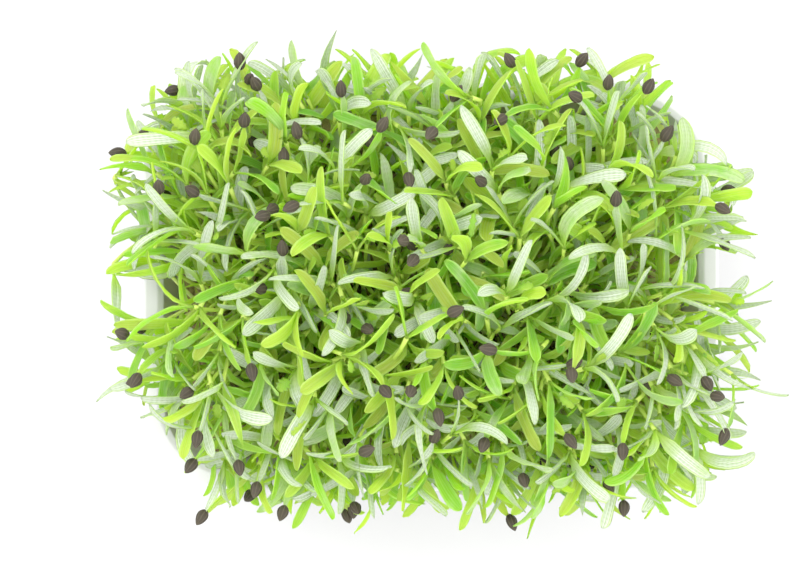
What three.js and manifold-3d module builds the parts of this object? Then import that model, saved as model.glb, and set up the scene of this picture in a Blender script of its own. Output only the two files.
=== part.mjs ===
// A tray of microgreens: a white tray, a block of moist growing medium and the seedlings that stand in it.
// Millimetres, +Z up. The origin is the centre of the tray's flat base, on the surface that it stands on.
// The seedlings grow in pinches of seed. One pinch makes one tuft: a root ball in a plain hole in the medium,
// and the stems, seed leaves and seed husks that grew from it.
import * as THREE from "three";
import { mergeVertices } from "three/addons/utils/BufferGeometryUtils.js";
import Module from "manifold-3d";

const wasm = await Module();
wasm.setup();

// Tray
const RIM_LENGTH = 178; // outside the rim, along X
const RIM_WIDTH = 127; // along Y
const TRAY_HEIGHT = 38;
const BASE_LENGTH = 150;
const BASE_WIDTH = 100;
const RIM_CORNER = 28;
const BASE_CORNER = 16;
const WALL = 1.2;
const RIM_FLANGE = 5;
const RIM_LIP = 4.5;
const RIM_EDGE = 0.8; // taken off the rim's outer edge
const RIM_BEND = 1; // how far under the rim the wall starts to turn outwards
// The rounded edge between base and wall, outside and inside: height, and how far in from the wall.
const BASE_EDGE = [
  [0, 1.6],
  [0.7, 0.5],
  [2.4, 0],
];
const FLOOR_EDGE = [
  [2, 0],
  [0, 1.2],
];
const CORNER_STEPS = 5;

// Growing medium
const MEDIUM_DEPTH = 24;
const MEDIUM_GAP = 0.4; // to the tray
const MEDIUM_BOTTOM = WALL + MEDIUM_GAP;
const MEDIUM_TOP = MEDIUM_BOTTOM + MEDIUM_DEPTH;
const MEDIUM_EDGE = 1; // taken off its upper edge
const MEDIUM_FOOT = 3; // how high the medium reaches its full width
const MEDIUM_FOOT_INSET = 1.3;

// Root balls, one to a tuft
const ROOT_RADIUS = 6;
const ROOT_DEPTH = 7;
const ROOT_TAPER = 0.8;
const ROOT_SIDES = 6;
const HOLE_GAP = 0.4;
const TUFT_COLUMNS = 8;
const TUFT_ROWS = 6;
const TUFT_FIELD_LENGTH = 138; // between the outermost tufts
const TUFT_FIELD_WIDTH = 84;
const FIELD_CORNER = 14; // how far a corner tuft stands from the corner's centre
const TUFT_JITTER = 2.2;

// Seedlings
const STEMS_PER_TUFT = 5;
const MOST_STEMS = 6;
const FOOT_RING = 3.3;
const STEM_SPREAD = 1.04; // how much further out than its foot a stem would end if it didn't lean
const STEM_LEAN = 12; // how far a stem's end would be from there if it lay down
const LEAST_LEAN = 26; // degrees from upright, at the middle
const MORE_LEAN = 30; // added at the canopy's edge
const LEAN_GROWTH = 1.2; // power by which it grows from the middle outwards
const LEAN_RANGE = [-8, 12]; // added to each seedling's lean, in degrees
const LEAN_SPREAD = 0.6; // how far a stem may turn from the common way, in radians
const SPREAD_GROWTH = 0.02; // added to it with each try that found no room
const PARTING = 22; // so far from the middle line a seedling may still lean to the other side
const END_LEAN = 1.5; // how much the seedlings at the two ends lean along X
const PARTING_LEAN = 0.7; // how much they lean along Y everywhere
const CANOPY_TOP = 75; // height of the stems' ends at the middle
const CANOPY_FALL = 17; // how much lower they end at the rim
const CANOPY_HALF_LENGTH = 88;
const CANOPY_HALF_WIDTH = 60;
const TOP_SHIFT = 4; // how far a stem's end may be from its place, along X and along Y
const TOP_RANGE = [-14, 3]; // how far over the canopy a stem may end
const STEM_FOOT_RADIUS = 0.85;
const STEM_TOP_RADIUS = 0.65;
const STEM_STATIONS = [0, 0.45, 1];
const STEM_UPRIGHT = 0.45; // shares of a stem's height over which it stands upright and then leans
const STEM_LEANING = 0.3;
const STEM_STEP = 0.05; // share of a stem over which its direction is measured
const STEM_SINK = 3; // how deep a stem's foot is in the root ball
const CROWN_TOP = MEDIUM_TOP + 22; // below this the stems of one tuft stand close together
const LEAF_LENGTH = 22;
const LEAF_WIDTH = 3.8;
const LEAF_REACH = 22; // how far out from its stem's foot a leaf's tip is, seen from above
const LEAF_THICKNESS = 0.8;
const LEAF_STATIONS = [0.28, 0.76, 1];
const LEAF_WIDTHS = [1, 0.94, 0.42]; // share of the width at each station
const SPEAR_WIDTHS = [1, 0.66, 0.12];
const KEEL_FULL = 1.5; // the keel has its full thickness where this times the share is 1 or more
const SPEAR_SHARE = 0.16; // of the leaves, where the outline and the husks don't decide it
// Ranges for a leaf's angles from its stem's axis, in degrees: open at its foot and droop at its tip.
// Roll, in radians, is how far it may turn about its middle line. Length and width are shares of the
// common leaf's.
const TIP_LEAF = { open: [16, 26], droop: [30, 48], roll: 0.3 };
const FREE_LEAF = { open: [10, 28], droop: [34, 68], roll: 0.5 };
const FREE_LENGTH = [0.82, 1.14];
const FREE_WIDTH = [0.85, 1.12];
const FORK_TURN = 0.9; // how far a stem's two leaves may turn from level, in radians
const HUSK_LENGTH = 5.6;
const HUSK_RADIUS = 1.75;
const HUSK_SIDES = 5;
// A husk's outline: share of its radius, and of its length from the leaf's tip.
const HUSK_OUTLINE = [
  [0, -0.42],
  [0.95, -0.12],
  [0.85, 0.2],
  [0, 0.58],
];

// How the seedlings are kept apart
const STEM_SAMPLES = 12;
const LEAF_SAMPLES = 7;
const EDGE_SAMPLE = 0.42; // of the leaf's width, from its middle line
const CLEARANCE = 2.4; // between the sample points of two tufts
const TRIES = 90;
const SEED = 20634;

// The stand's outline from above, a rectangle with rounded corners: for the seedlings whose places are given
// below, and for all others. These also keep out of two opposite corners, from CUT_BACK outwards.
const OUTLINE_CORNER = 34;
const TIP_OUTLINE = [104, 79];
const FREE_OUTLINE = [99, 70];
const CUT_BACK = [63, 26];
const CUT_ROOM = 200; // square millimetres past it, along X times along Y
// Two thin places at the stand's ends, where it is open down to the rim, seen from above.
const GAPS = [
  [-85, -4],
  [85, 4],
];
const GAP_RADIUS = 7;

// The seedlings that give the outline and the husks their places, each with where its leaf tip is from
// above and which way it points there, in degrees from +X. Each has a twin, turned by half a turn.
const TIP_SIZE = { spear: { length: 1.05, width: 1.05 }, strap: { length: 0.9, width: 0.8 } };
const TIP_LENGTH = [0.92, 1.08];
const TIP_LEAN = [36, 52]; // degrees from upright
const TIP_TURN = 8; // how far it may point another way, in degrees
const TIP_HEIGHT = [9, 17]; // over the canopy
const NEAR_TUFTS = 3; // that are tried in turn
const HUSK_TIPS = [
  { at: [-84.5, 43.5], points: 62 },
  { at: [-69.5, 27.2], points: 150 },
  { at: [-79, 28], points: 96 },
  { at: [-56.3, 65.1], points: 88 },
  { at: [-51.5, 58.6], points: 112 },
  { at: [-54.3, 47.2], points: 80 },
  { at: [-40, 22.4], points: 200 },
  { at: [-15.8, 18.1], points: 340 },
  { at: [-26.6, 56.6], points: 95 },
  { at: [-39.2, 44.3], points: 120 },
  { at: [-14.7, 45.7], points: 70 },
  { at: [-7, 30.6], points: 265 },
  { at: [-0.4, 43.7], points: 240 },
  { at: [6.7, 55.7], points: 60 },
  { at: [13.8, 29.8], points: 130 },
  { at: [19.5, 47.7], points: 200 },
  { at: [22.7, 65.4], points: 125 },
  { at: [43.7, 66], points: 62 },
  { at: [51.4, 59.1], points: 80 },
  { at: [62.4, 57.4], points: 45 },
  { at: [67.7, 43.7], points: 70 },
  { at: [52, 24.4], points: 100 },
  { at: [86.4, 27.8], points: 10 },
  { at: [85.4, 12.4], points: 285 },
  { at: [-5.7, 7.3], points: 200 },
];
const SPEAR_TIPS = [
  { at: [-28.4, 75.6], points: 80 },
  { at: [-67, 66.8], points: 105 },
  { at: [-97, 28], points: 158 },
  { at: [-92, 41], points: 155 },
  { at: [-3, 67.6], points: 66 },
  { at: [-14.5, 65], points: 100 },
  { at: [14.4, 67], points: 110 },
  { at: [34, 68], points: 68 },
  { at: [71.5, 51], points: 8 },
  { at: [79, 36], points: 80 },
  { at: [-99, 4.5], points: 184 },
  { at: [93, 24], points: 350 },
  { at: [96, 15], points: 335 },
  { at: [-75, 56], points: 125 },
  { at: [-44, 67.5], points: 84 },
  { at: [93, -3], points: 5 },
  { at: [-92.5, -15], points: 268 },
  { at: [-93, 15], points: 100 },
  { at: [-97, -17], points: 170 },
];

const MEDIUM = new THREE.MeshStandardMaterial({ color: 0x4a382a, roughness: 0.95, metalness: 0 });
const WHITE_PLASTIC = new THREE.MeshStandardMaterial({ color: 0xf2f2ee, roughness: 0.4, metalness: 0 });
const GREEN = new THREE.MeshStandardMaterial({ color: 0x8fbf4a, roughness: 0.5, metalness: 0 });

// Plain arithmetic on [x, y, z]
const add = (a, b) => [a[0] + b[0], a[1] + b[1], a[2] + b[2]];
const scale = (a, k) => [a[0] * k, a[1] * k, a[2] * k];
const sub = (a, b) => add(a, scale(b, -1));
const cross = (a, b) => [a[1] * b[2] - a[2] * b[1], a[2] * b[0] - a[0] * b[2], a[0] * b[1] - a[1] * b[0]];
const unit = (a) => scale(a, 1 / Math.hypot(a[0], a[1], a[2]));
const radians = (degrees) => (degrees * Math.PI) / 180;

// A seeded draw from 0 to 1, by Park and Miller's rule.
const DRAW_FACTOR = 48271;
const DRAW_RANGE = 2147483647;
let drawn = SEED;
function draw() {
  drawn = (drawn * DRAW_FACTOR) % DRAW_RANGE;
  return drawn / DRAW_RANGE;
}
const between = (low, high) => low + (high - low) * draw();

// Solids from meshes
function solidFrom(geometry) {
  geometry.deleteAttribute("normal");
  geometry.deleteAttribute("uv");
  const merged = mergeVertices(geometry, 1e-4);
  return new wasm.Manifold(
    new wasm.Mesh({
      numProp: 3,
      vertProperties: merged.attributes.position.array,
      triVerts: new Uint32Array(merged.index.array),
    }),
  );
}

function geometryFrom(solid) {
  const mesh = solid.getMesh();
  return new THREE.BufferGeometry()
    .setAttribute("position", new THREE.BufferAttribute(mesh.vertProperties, 3))
    .setIndex(new THREE.BufferAttribute(mesh.triVerts, 1));
}

// A skin that is built up from rings of points, joined by bands of triangles and closed by caps. A ring's
// points run anticlockwise about the way in which the rings follow each other.
class Skin {
  points = [];
  triangles = [];

  ring(points) {
    const first = this.points.length;
    this.points.push(...points);
    return points.map((_, i) => first + i);
  }

  band(from, to) {
    from.forEach((a, i) => {
      const next = (i + 1) % from.length;
      this.triangles.push(a, from[next], to[i], from[next], to[next], to[i]);
    });
  }

  cap(ring, outward) {
    const middle = ring.map((i) => this.points[i]).reduce(add);
    const [centre] = ring.length === 3 ? [ring[0]] : this.ring([scale(middle, 1 / ring.length)]);
    const around = ring.map((a, i) => [a, ring[(i + 1) % ring.length]]);
    const edges = ring.length === 3 ? [[ring[1], ring[2]]] : around;
    for (const [a, b] of edges) this.triangles.push(centre, outward ? a : b, outward ? b : a);
  }

  // Joins each ring to the one before it, starting from an index ring, and returns the last.
  follow(start, rings) {
    return rings.reduce((last, points) => {
      const next = this.ring(points);
      this.band(last, next);
      return next;
    }, start);
  }

  geometry() {
    return new THREE.BufferGeometry()
      .setAttribute("position", new THREE.Float32BufferAttribute(this.points.flat(), 3))
      .setIndex(this.triangles);
  }
}

function loft(rings) {
  const skin = new Skin();
  const first = skin.ring(rings[0]);
  skin.cap(first, false);
  skin.cap(skin.follow(first, rings.slice(1)), true);
  return skin.geometry();
}

// Tray and medium
function roundedRing(halfLength, halfWidth, corner, z) {
  const ring = [];
  for (let quarter = 0; quarter < 4; quarter++) {
    const sideX = quarter === 0 || quarter === 3 ? 1 : -1;
    const sideY = quarter < 2 ? 1 : -1;
    for (let i = 0; i <= CORNER_STEPS; i++) {
      const angle = radians(90 * (quarter + i / CORNER_STEPS));
      ring.push([
        sideX * (halfLength - corner) + corner * Math.cos(angle),
        sideY * (halfWidth - corner) + corner * Math.sin(angle),
        z,
      ]);
    }
  }
  return ring;
}

// The wall's outside at a height, moved in by inset.
function wallRing(z, inset) {
  const share = z / TRAY_HEIGHT;
  const along = (low, high) => low + (high - low) * share;
  return roundedRing(
    along(BASE_LENGTH, RIM_LENGTH - 2 * RIM_FLANGE) / 2 - inset,
    along(BASE_WIDTH, RIM_WIDTH - 2 * RIM_FLANGE) / 2 - inset,
    along(BASE_CORNER, RIM_CORNER - RIM_FLANGE) - inset,
    z,
  );
}

function rimRing(z, inset) {
  return roundedRing(RIM_LENGTH / 2 - inset, RIM_WIDTH / 2 - inset, RIM_CORNER - inset, z);
}

function makeTray() {
  return loft([
    ...BASE_EDGE.map(([z, inset]) => wallRing(z, inset)),
    wallRing(TRAY_HEIGHT - WALL - RIM_BEND, 0),
    rimRing(TRAY_HEIGHT - WALL, RIM_FLANGE - RIM_EDGE),
    rimRing(TRAY_HEIGHT - WALL, WALL + RIM_EDGE),
    rimRing(TRAY_HEIGHT - RIM_LIP, WALL),
    rimRing(TRAY_HEIGHT - RIM_LIP, 0),
    rimRing(TRAY_HEIGHT - RIM_EDGE, 0),
    rimRing(TRAY_HEIGHT, RIM_EDGE),
    rimRing(TRAY_HEIGHT, RIM_FLANGE),
    wallRing(TRAY_HEIGHT - RIM_BEND, WALL),
    ...FLOOR_EDGE.map(([z, inset]) => wallRing(WALL + z, WALL + inset)),
  ]);
}

function makeMedium(tufts) {
  const side = WALL + MEDIUM_GAP;
  const block = loft([
    wallRing(MEDIUM_BOTTOM, side + MEDIUM_FOOT_INSET),
    wallRing(MEDIUM_BOTTOM + MEDIUM_FOOT, side),
    wallRing(MEDIUM_TOP - MEDIUM_EDGE, side),
    wallRing(MEDIUM_TOP, side + MEDIUM_EDGE),
  ]);
  const depth = ROOT_DEPTH + HOLE_GAP;
  const holes = tufts.map(({ x, y }) =>
    solidFrom(
      new THREE.CylinderGeometry(ROOT_RADIUS + HOLE_GAP, ROOT_RADIUS + HOLE_GAP, depth + 1, ROOT_SIDES)
        .rotateX(Math.PI / 2)
        .translate(x, y, MEDIUM_TOP - depth + (depth + 1) / 2),
    ),
  );
  return holes.reduce((left, hole) => left.subtract(hole), solidFrom(block));
}

// Tuft places: staggered rows, a little uneven, drawn in at the corners.
function tuftPlaces() {
  const places = [];
  for (let row = 0; row < TUFT_ROWS; row++) {
    const count = TUFT_COLUMNS - (row % 2);
    for (let column = 0; column < count; column++) {
      const pitch = TUFT_FIELD_LENGTH / (TUFT_COLUMNS - 1);
      let x = (column - (count - 1) / 2) * pitch + between(-TUFT_JITTER, TUFT_JITTER);
      let y = (row / (TUFT_ROWS - 1) - 0.5) * TUFT_FIELD_WIDTH + between(-TUFT_JITTER, TUFT_JITTER);
      const cornerX = TUFT_FIELD_LENGTH / 2 - FIELD_CORNER;
      const cornerY = TUFT_FIELD_WIDTH / 2 - FIELD_CORNER;
      const [outX, outY] = [Math.abs(x) - cornerX, Math.abs(y) - cornerY];
      const out = Math.hypot(outX, outY);
      if (outX > 0 && outY > 0 && out > FIELD_CORNER) {
        x = Math.sign(x) * (cornerX + (outX * FIELD_CORNER) / out);
        y = Math.sign(y) * (cornerY + (outY * FIELD_CORNER) / out);
      }
      places.push({ x, y, turn: between(0, 2 * Math.PI), stems: [] });
    }
  }
  return places;
}

// How far out a place is: 0 at the middle and 1 at the canopy's edge.
const outness = (x, y) => Math.max(Math.abs(x) / CANOPY_HALF_LENGTH, Math.abs(y) / CANOPY_HALF_WIDTH);
const canopyHeight = (x, y) => CANOPY_TOP - CANOPY_FALL * outness(x, y) ** 2;

// A leaf's middle line is an arc: it leaves the stem at the angle open from the axis and ends at droop.
function leafPoint(stem, leaf, s) {
  const bend = leaf.droop - leaf.open;
  const along = (Math.sin(leaf.open + bend * s) - Math.sin(leaf.open)) / bend;
  const out = (Math.cos(leaf.open) - Math.cos(leaf.open + bend * s)) / bend;
  return add(stem.top, add(scale(stem.axis, along * leaf.length), scale(leaf.out, out * leaf.length)));
}

function leafDirection(stem, leaf, s) {
  const angle = leaf.open + (leaf.droop - leaf.open) * s;
  return add(scale(stem.axis, Math.cos(angle)), scale(leaf.out, Math.sin(angle)));
}

// The way across the leaf, turned about its middle line by roll.
function leafAcross(stem, leaf, s) {
  const flat = cross(stem.axis, leaf.out);
  const up = cross(leafDirection(stem, leaf, s), flat);
  return add(scale(flat, Math.cos(leaf.roll)), scale(up, Math.sin(leaf.roll)));
}

function stemPoint(stem, t) {
  const reach = stem.top[2] - stem.foot[2];
  const [p0, p3] = [stem.foot, stem.top];
  const p1 = add(p0, [0, 0, STEM_UPRIGHT * reach]);
  const p2 = sub(p3, scale(stem.axis, STEM_LEANING * reach));
  const u = 1 - t;
  return add(
    add(scale(p0, u * u * u), scale(p1, 3 * u * u * t)),
    add(scale(p2, 3 * u * t * t), scale(p3, t * t * t)),
  );
}

// Points on a seedling, close enough together that two seedlings are clear when their points are.
function samplePoints(stem) {
  const points = [];
  for (let i = 1; i <= STEM_SAMPLES; i++) points.push(stemPoint(stem, i / STEM_SAMPLES));
  for (const leaf of stem.leaves) {
    for (let i = 1; i <= LEAF_SAMPLES; i++) {
      const middle = leafPoint(stem, leaf, i / LEAF_SAMPLES);
      const half = scale(leafAcross(stem, leaf, i / LEAF_SAMPLES), EDGE_SAMPLE * leaf.width);
      points.push(middle, add(middle, half), sub(middle, half));
    }
  }
  return points;
}

const isInGap = ([x, y]) => GAPS.some(([gapX, gapY]) => Math.hypot(x - gapX, y - gapY) < GAP_RADIUS);
const past = (value, limit) => Math.max(0, Math.abs(value) - limit);
const isCutBack = ([x, y]) => x * y > 0 && past(x, CUT_BACK[0]) * past(y, CUT_BACK[1]) > CUT_ROOM;

// True outside a rounded rectangle that reaches halfLength by halfWidth.
function isOutside([x, y], [halfLength, halfWidth]) {
  const [overX, overY] = [past(x, halfLength - OUTLINE_CORNER), past(y, halfWidth - OUTLINE_CORNER)];
  return Math.hypot(overX, overY) > OUTLINE_CORNER;
}

const isBarredTip = (point) => isInGap(point) || isOutside(point, TIP_OUTLINE);
const isBarred = (point) => isInGap(point) || isCutBack(point) || isOutside(point, FREE_OUTLINE);

// Stems of one tuft may touch low down, where they come out of one root ball.
function isClear(points, tuft, placed) {
  return placed.every((other) => {
    const crown = other.tuft === tuft ? CROWN_TOP : 0;
    return other.points.every((q) =>
      points.every(
        (p) =>
          (p[2] < crown && q[2] < crown) ||
          (p[0] - q[0]) ** 2 + (p[1] - q[1]) ** 2 + (p[2] - q[2]) ** 2 > CLEARANCE ** 2,
      ),
    );
  });
}

function footOf(tuft, slot) {
  const angle = tuft.turn + (2 * Math.PI * slot) / MOST_STEMS;
  return [tuft.x + FOOT_RING * Math.cos(angle), tuft.y + FOOT_RING * Math.sin(angle), MEDIUM_TOP];
}

function leafAngles({ open, droop, roll }) {
  return { open: radians(between(...open)), droop: radians(between(...droop)), roll: between(-roll, roll) };
}

function freeLeaf(out, kind) {
  return {
    out,
    kind,
    husk: false,
    length: LEAF_LENGTH * between(...FREE_LENGTH),
    width: LEAF_WIDTH * between(...FREE_WIDTH),
    ...leafAngles(FREE_LEAF),
  };
}

// The way that a stem's end points: tilted from upright, towards an angle seen from above.
const tilted = (tilt, towards) => [
  Math.sin(tilt) * Math.cos(towards),
  Math.sin(tilt) * Math.sin(towards),
  Math.cos(tilt),
];
const levelAcross = (towards) => [-Math.sin(towards), Math.cos(towards), 0];

// A seedling whose first leaf ends at a given place and points a given way, seen from above.
function seedlingTo(tip, kind, tuft) {
  const side = draw() < 0.5 ? 1 : -1;
  const tilt = radians(between(...TIP_LEAN));
  const leaf = {
    kind,
    husk: kind === "strap",
    length: TIP_SIZE[kind].length * LEAF_LENGTH * between(...TIP_LENGTH),
    width: TIP_SIZE[kind].width * LEAF_WIDTH,
    ...leafAngles(TIP_LEAF),
  };
  const off = Math.atan2(Math.sin(leaf.droop), Math.cos(leaf.droop) * Math.sin(tilt));
  const towards = radians(tip.points + between(-TIP_TURN, TIP_TURN)) - side * off;
  leaf.out = scale(levelAcross(towards), side);
  const stem = { foot: footOf(tuft, tuft.stems.length), axis: tilted(tilt, towards), top: [0, 0, 0] };
  const end = [tip.at[0], tip.at[1], canopyHeight(...tip.at) + between(...TIP_HEIGHT)];
  stem.top = sub(end, leafPoint(stem, leaf, 1));
  stem.leaves = [leaf, freeLeaf(scale(leaf.out, -1), "strap")];
  return stem;
}

// A seedling that leans away from the middle line and over the rim, the more so the further out it stands.
function freeSeedling(tuft, tries) {
  const foot = footOf(tuft, tuft.stems.length);
  const [x, y] = [foot[0] * STEM_SPREAD, foot[1] * STEM_SPREAD];
  const side = Math.sign(y + between(-PARTING, PARTING));
  const alongX = END_LEAN * (x / CANOPY_HALF_LENGTH) * Math.abs(x / CANOPY_HALF_LENGTH);
  const alongY = side * (PARTING_LEAN + Math.abs(y / CANOPY_HALF_WIDTH));
  const spread = LEAN_SPREAD + SPREAD_GROWTH * tries;
  const towards = Math.atan2(alongY, alongX) + between(-spread, spread);
  const farOut = Math.min(1, outness(x, y)) ** LEAN_GROWTH;
  const tilt = radians(LEAST_LEAN + MORE_LEAN * farOut + between(...LEAN_RANGE));
  const axis = tilted(tilt, towards);
  const level = levelAcross(towards);
  const turn = between(-FORK_TURN, FORK_TURN);
  const out = add(scale(level, Math.cos(turn)), scale(cross(axis, level), Math.sin(turn)));
  const lean = STEM_LEAN * Math.sin(tilt);
  const topX = x + lean * Math.cos(towards) + between(-TOP_SHIFT, TOP_SHIFT);
  const topY = y + lean * Math.sin(towards) + between(-TOP_SHIFT, TOP_SHIFT);
  const top = [topX, topY, canopyHeight(topX, topY) + between(...TOP_RANGE)];
  const kind = draw() < SPEAR_SHARE ? "spear" : "strap";
  return { foot, top, axis, leaves: [freeLeaf(out, kind), freeLeaf(scale(out, -1), "strap")] };
}

// The nearest tufts with room to a place.
function tuftsNear(tufts, [x, y]) {
  const far = (tuft) => (tuft.x * STEM_SPREAD - x) ** 2 + (tuft.y * STEM_SPREAD - y) ** 2;
  return tufts.filter((tuft) => tuft.stems.length < MOST_STEMS - 1).sort((a, b) => far(a) - far(b));
}

function plantTufts() {
  const tufts = tuftPlaces();
  const placed = [];
  const plant = (tuft, stem, isKeptOut) => {
    const points = samplePoints(stem);
    if (points.some(isKeptOut) || !isClear(points, tuft, placed)) return false;
    tuft.stems.push(stem);
    placed.push({ tuft, points });
    return true;
  };
  const tips = [
    ...HUSK_TIPS.map((tip) => ({ ...tip, kind: "strap" })),
    ...SPEAR_TIPS.map((tip) => ({ ...tip, kind: "spear" })),
  ];
  for (const { at, points, kind } of tips) {
    for (const side of [1, -1]) {
      const tip = { at: [side * at[0], side * at[1]], points: points + (side < 0 ? 180 : 0) };
      const angle = radians(tip.points);
      const foot = [tip.at[0] - LEAF_REACH * Math.cos(angle), tip.at[1] - LEAF_REACH * Math.sin(angle)];
      const near = tuftsNear(tufts, foot);
      for (let i = 0; i < TRIES; i++) {
        const tuft = near[i % NEAR_TUFTS];
        if (plant(tuft, seedlingTo(tip, kind, tuft), isBarredTip)) break;
      }
    }
  }
  for (let round = 0; round < STEMS_PER_TUFT; round++) {
    for (const tuft of tufts) {
      if (tuft.stems.length > round) continue;
      for (let i = 0; i < TRIES; i++) {
        if (plant(tuft, freeSeedling(tuft, i), isBarred)) break;
      }
    }
  }
  return tufts;
}

function stemDirection(stem, t) {
  if (t === 0) return [0, 0, 1];
  return t === 1 ? stem.axis : unit(sub(stemPoint(stem, t), stemPoint(stem, t - STEM_STEP)));
}

function stemRing(stem, t) {
  const middle = t === 0 ? add(stem.foot, [0, 0, -STEM_SINK]) : stemPoint(stem, t);
  const along = stemDirection(stem, t);
  const flat = unit(cross(along, stem.leaves[0].out));
  const out = cross(flat, along);
  const radius = STEM_FOOT_RADIUS + (STEM_TOP_RADIUS - STEM_FOOT_RADIUS) * t;
  return [out, flat, scale(out, -1), scale(flat, -1)].map((way) => add(middle, scale(way, radius)));
}

// A leaf's section is a triangle: a flat upper face, and a keel on the side away from the other leaf.
function leafRing(stem, leaf, s, share) {
  const across = leafAcross(stem, leaf, s);
  const below = cross(across, leafDirection(stem, leaf, s));
  const middle = leafPoint(stem, leaf, s);
  const half = scale(across, 0.5 * leaf.width * share);
  const keel = scale(below, LEAF_THICKNESS * Math.min(1, KEEL_FULL * share));
  return [add(middle, keel), add(middle, half), sub(middle, half)];
}

// The stem forks into its two leaves: each takes three of the four corners of the stem's last ring.
function seedlingSolid(stem) {
  const skin = new Skin();
  const foot = skin.ring(stemRing(stem, 0));
  skin.cap(foot, false);
  const [out, flat, back, other] = skin.follow(foot, STEM_STATIONS.slice(1).map((t) => stemRing(stem, t)));
  const starts = [
    [out, flat, other],
    [back, other, flat],
  ];
  stem.leaves.forEach((leaf, i) => {
    const widths = leaf.kind === "spear" ? SPEAR_WIDTHS : LEAF_WIDTHS;
    const rings = LEAF_STATIONS.map((s, k) => leafRing(stem, leaf, s, widths[k]));
    skin.cap(skin.follow(starts[i], rings), true);
  });
  return solidFrom(skin.geometry());
}

// The empty seed husk that a leaf still carries on its tip: a pointed oval.
function huskSolid(stem, leaf) {
  const profile = HUSK_OUTLINE.map(([r, y]) => new THREE.Vector2(r * HUSK_RADIUS, y * HUSK_LENGTH));
  const ahead = leafDirection(stem, leaf, 1);
  const middle = leafPoint(stem, leaf, 1);
  const turn = new THREE.Quaternion().setFromUnitVectors(
    new THREE.Vector3(0, 1, 0),
    new THREE.Vector3(...ahead).normalize(),
  );
  const husk = new THREE.LatheGeometry(profile, HUSK_SIDES).applyQuaternion(turn).translate(...middle);
  return solidFrom(husk);
}

function tuftSolid(tuft) {
  const root = solidFrom(
    new THREE.CylinderGeometry(ROOT_RADIUS, ROOT_RADIUS * ROOT_TAPER, ROOT_DEPTH, ROOT_SIDES)
      .rotateX(Math.PI / 2)
      .translate(tuft.x, tuft.y, MEDIUM_TOP - ROOT_DEPTH / 2),
  );
  return tuft.stems.reduce((tuftSoFar, stem) => {
    const husks = stem.leaves.filter((leaf) => leaf.husk).map((leaf) => huskSolid(stem, leaf));
    return [seedlingSolid(stem), ...husks].reduce((whole, piece) => whole.add(piece), tuftSoFar);
  }, root);
}

function named(name, geometry, material) {
  const mesh = new THREE.Mesh(geometry, material);
  mesh.name = name;
  return mesh;
}

const tufts = plantTufts();
const microgreens = new THREE.Group();
microgreens.add(named("tray", makeTray(), WHITE_PLASTIC));
microgreens.add(named("growing_medium", geometryFrom(makeMedium(tufts)), MEDIUM));
tufts.forEach((tuft, i) => {
  const name = "tuft_" + String(i + 1).padStart(2, "0");
  microgreens.add(named(name, geometryFrom(tuftSolid(tuft)), GREEN));
});

export default microgreens;
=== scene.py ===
"""Microgreens tray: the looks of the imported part, laid out as an add-on.

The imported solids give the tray, the growing medium and 45 tufts of seedlings. This script grows the same
seedlings again from the same seeded draws, finely, adds the smaller ones between them, and gives the tray
and the medium their finish. Shapes are worked out in millimetres and put into Blender in metres.
"""

import math
from dataclasses import dataclass, field

import bpy
import numpy as np
from bpy.props import FloatProperty, FloatVectorProperty, IntProperty, PointerProperty
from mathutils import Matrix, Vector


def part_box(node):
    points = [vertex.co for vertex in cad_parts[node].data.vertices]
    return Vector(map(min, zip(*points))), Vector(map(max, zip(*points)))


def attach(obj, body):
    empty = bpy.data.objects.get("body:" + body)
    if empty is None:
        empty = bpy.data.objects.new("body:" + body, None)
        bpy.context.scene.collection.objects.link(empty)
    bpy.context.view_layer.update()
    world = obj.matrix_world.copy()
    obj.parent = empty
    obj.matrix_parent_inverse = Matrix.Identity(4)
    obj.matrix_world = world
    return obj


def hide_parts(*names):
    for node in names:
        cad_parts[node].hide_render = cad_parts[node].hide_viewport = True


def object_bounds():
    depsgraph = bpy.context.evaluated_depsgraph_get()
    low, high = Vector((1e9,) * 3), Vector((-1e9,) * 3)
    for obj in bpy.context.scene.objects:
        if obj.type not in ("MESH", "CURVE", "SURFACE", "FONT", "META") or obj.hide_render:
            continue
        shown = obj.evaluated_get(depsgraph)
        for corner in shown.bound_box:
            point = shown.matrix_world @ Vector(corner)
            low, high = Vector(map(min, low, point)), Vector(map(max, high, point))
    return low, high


bl_info = {
    "name": "Microgreens Tray",
    "version": (1, 0, 0),
    "blender": (4, 5, 0),
    "location": "3D View > Sidebar > Microgreens",
    "description": "Dresses the packed solids of a tray of microgreens",
    "category": "Add Mesh",
}

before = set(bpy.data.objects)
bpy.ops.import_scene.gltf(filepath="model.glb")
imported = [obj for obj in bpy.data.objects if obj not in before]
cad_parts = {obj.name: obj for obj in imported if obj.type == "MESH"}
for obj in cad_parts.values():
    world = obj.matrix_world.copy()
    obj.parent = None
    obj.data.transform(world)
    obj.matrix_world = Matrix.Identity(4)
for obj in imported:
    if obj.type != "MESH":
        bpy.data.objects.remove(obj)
CAD_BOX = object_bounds()
BODY = "root"
MM = 0.001

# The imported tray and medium, in millimetres
TRAY_LOW, TRAY_HIGH = (np.array(corner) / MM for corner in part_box("tray"))
MEDIUM_LOW, MEDIUM_HIGH = (np.array(corner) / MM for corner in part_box("growing_medium"))
RIM_LENGTH, RIM_WIDTH, TRAY_HEIGHT = TRAY_HIGH - TRAY_LOW
TUFT_NODES = sorted(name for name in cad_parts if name.startswith("tuft_"))

# The tray's section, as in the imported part
BASE_LENGTH = 150
BASE_WIDTH = 100
RIM_CORNER = 28
BASE_CORNER = 16
WALL = 1.2
RIM_FLANGE = 5
RIM_LIP = 4.5
MEDIUM_GAP = 0.4
MEDIUM_DEPTH = 24
MEDIUM_TOP = WALL + MEDIUM_GAP + MEDIUM_DEPTH

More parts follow.
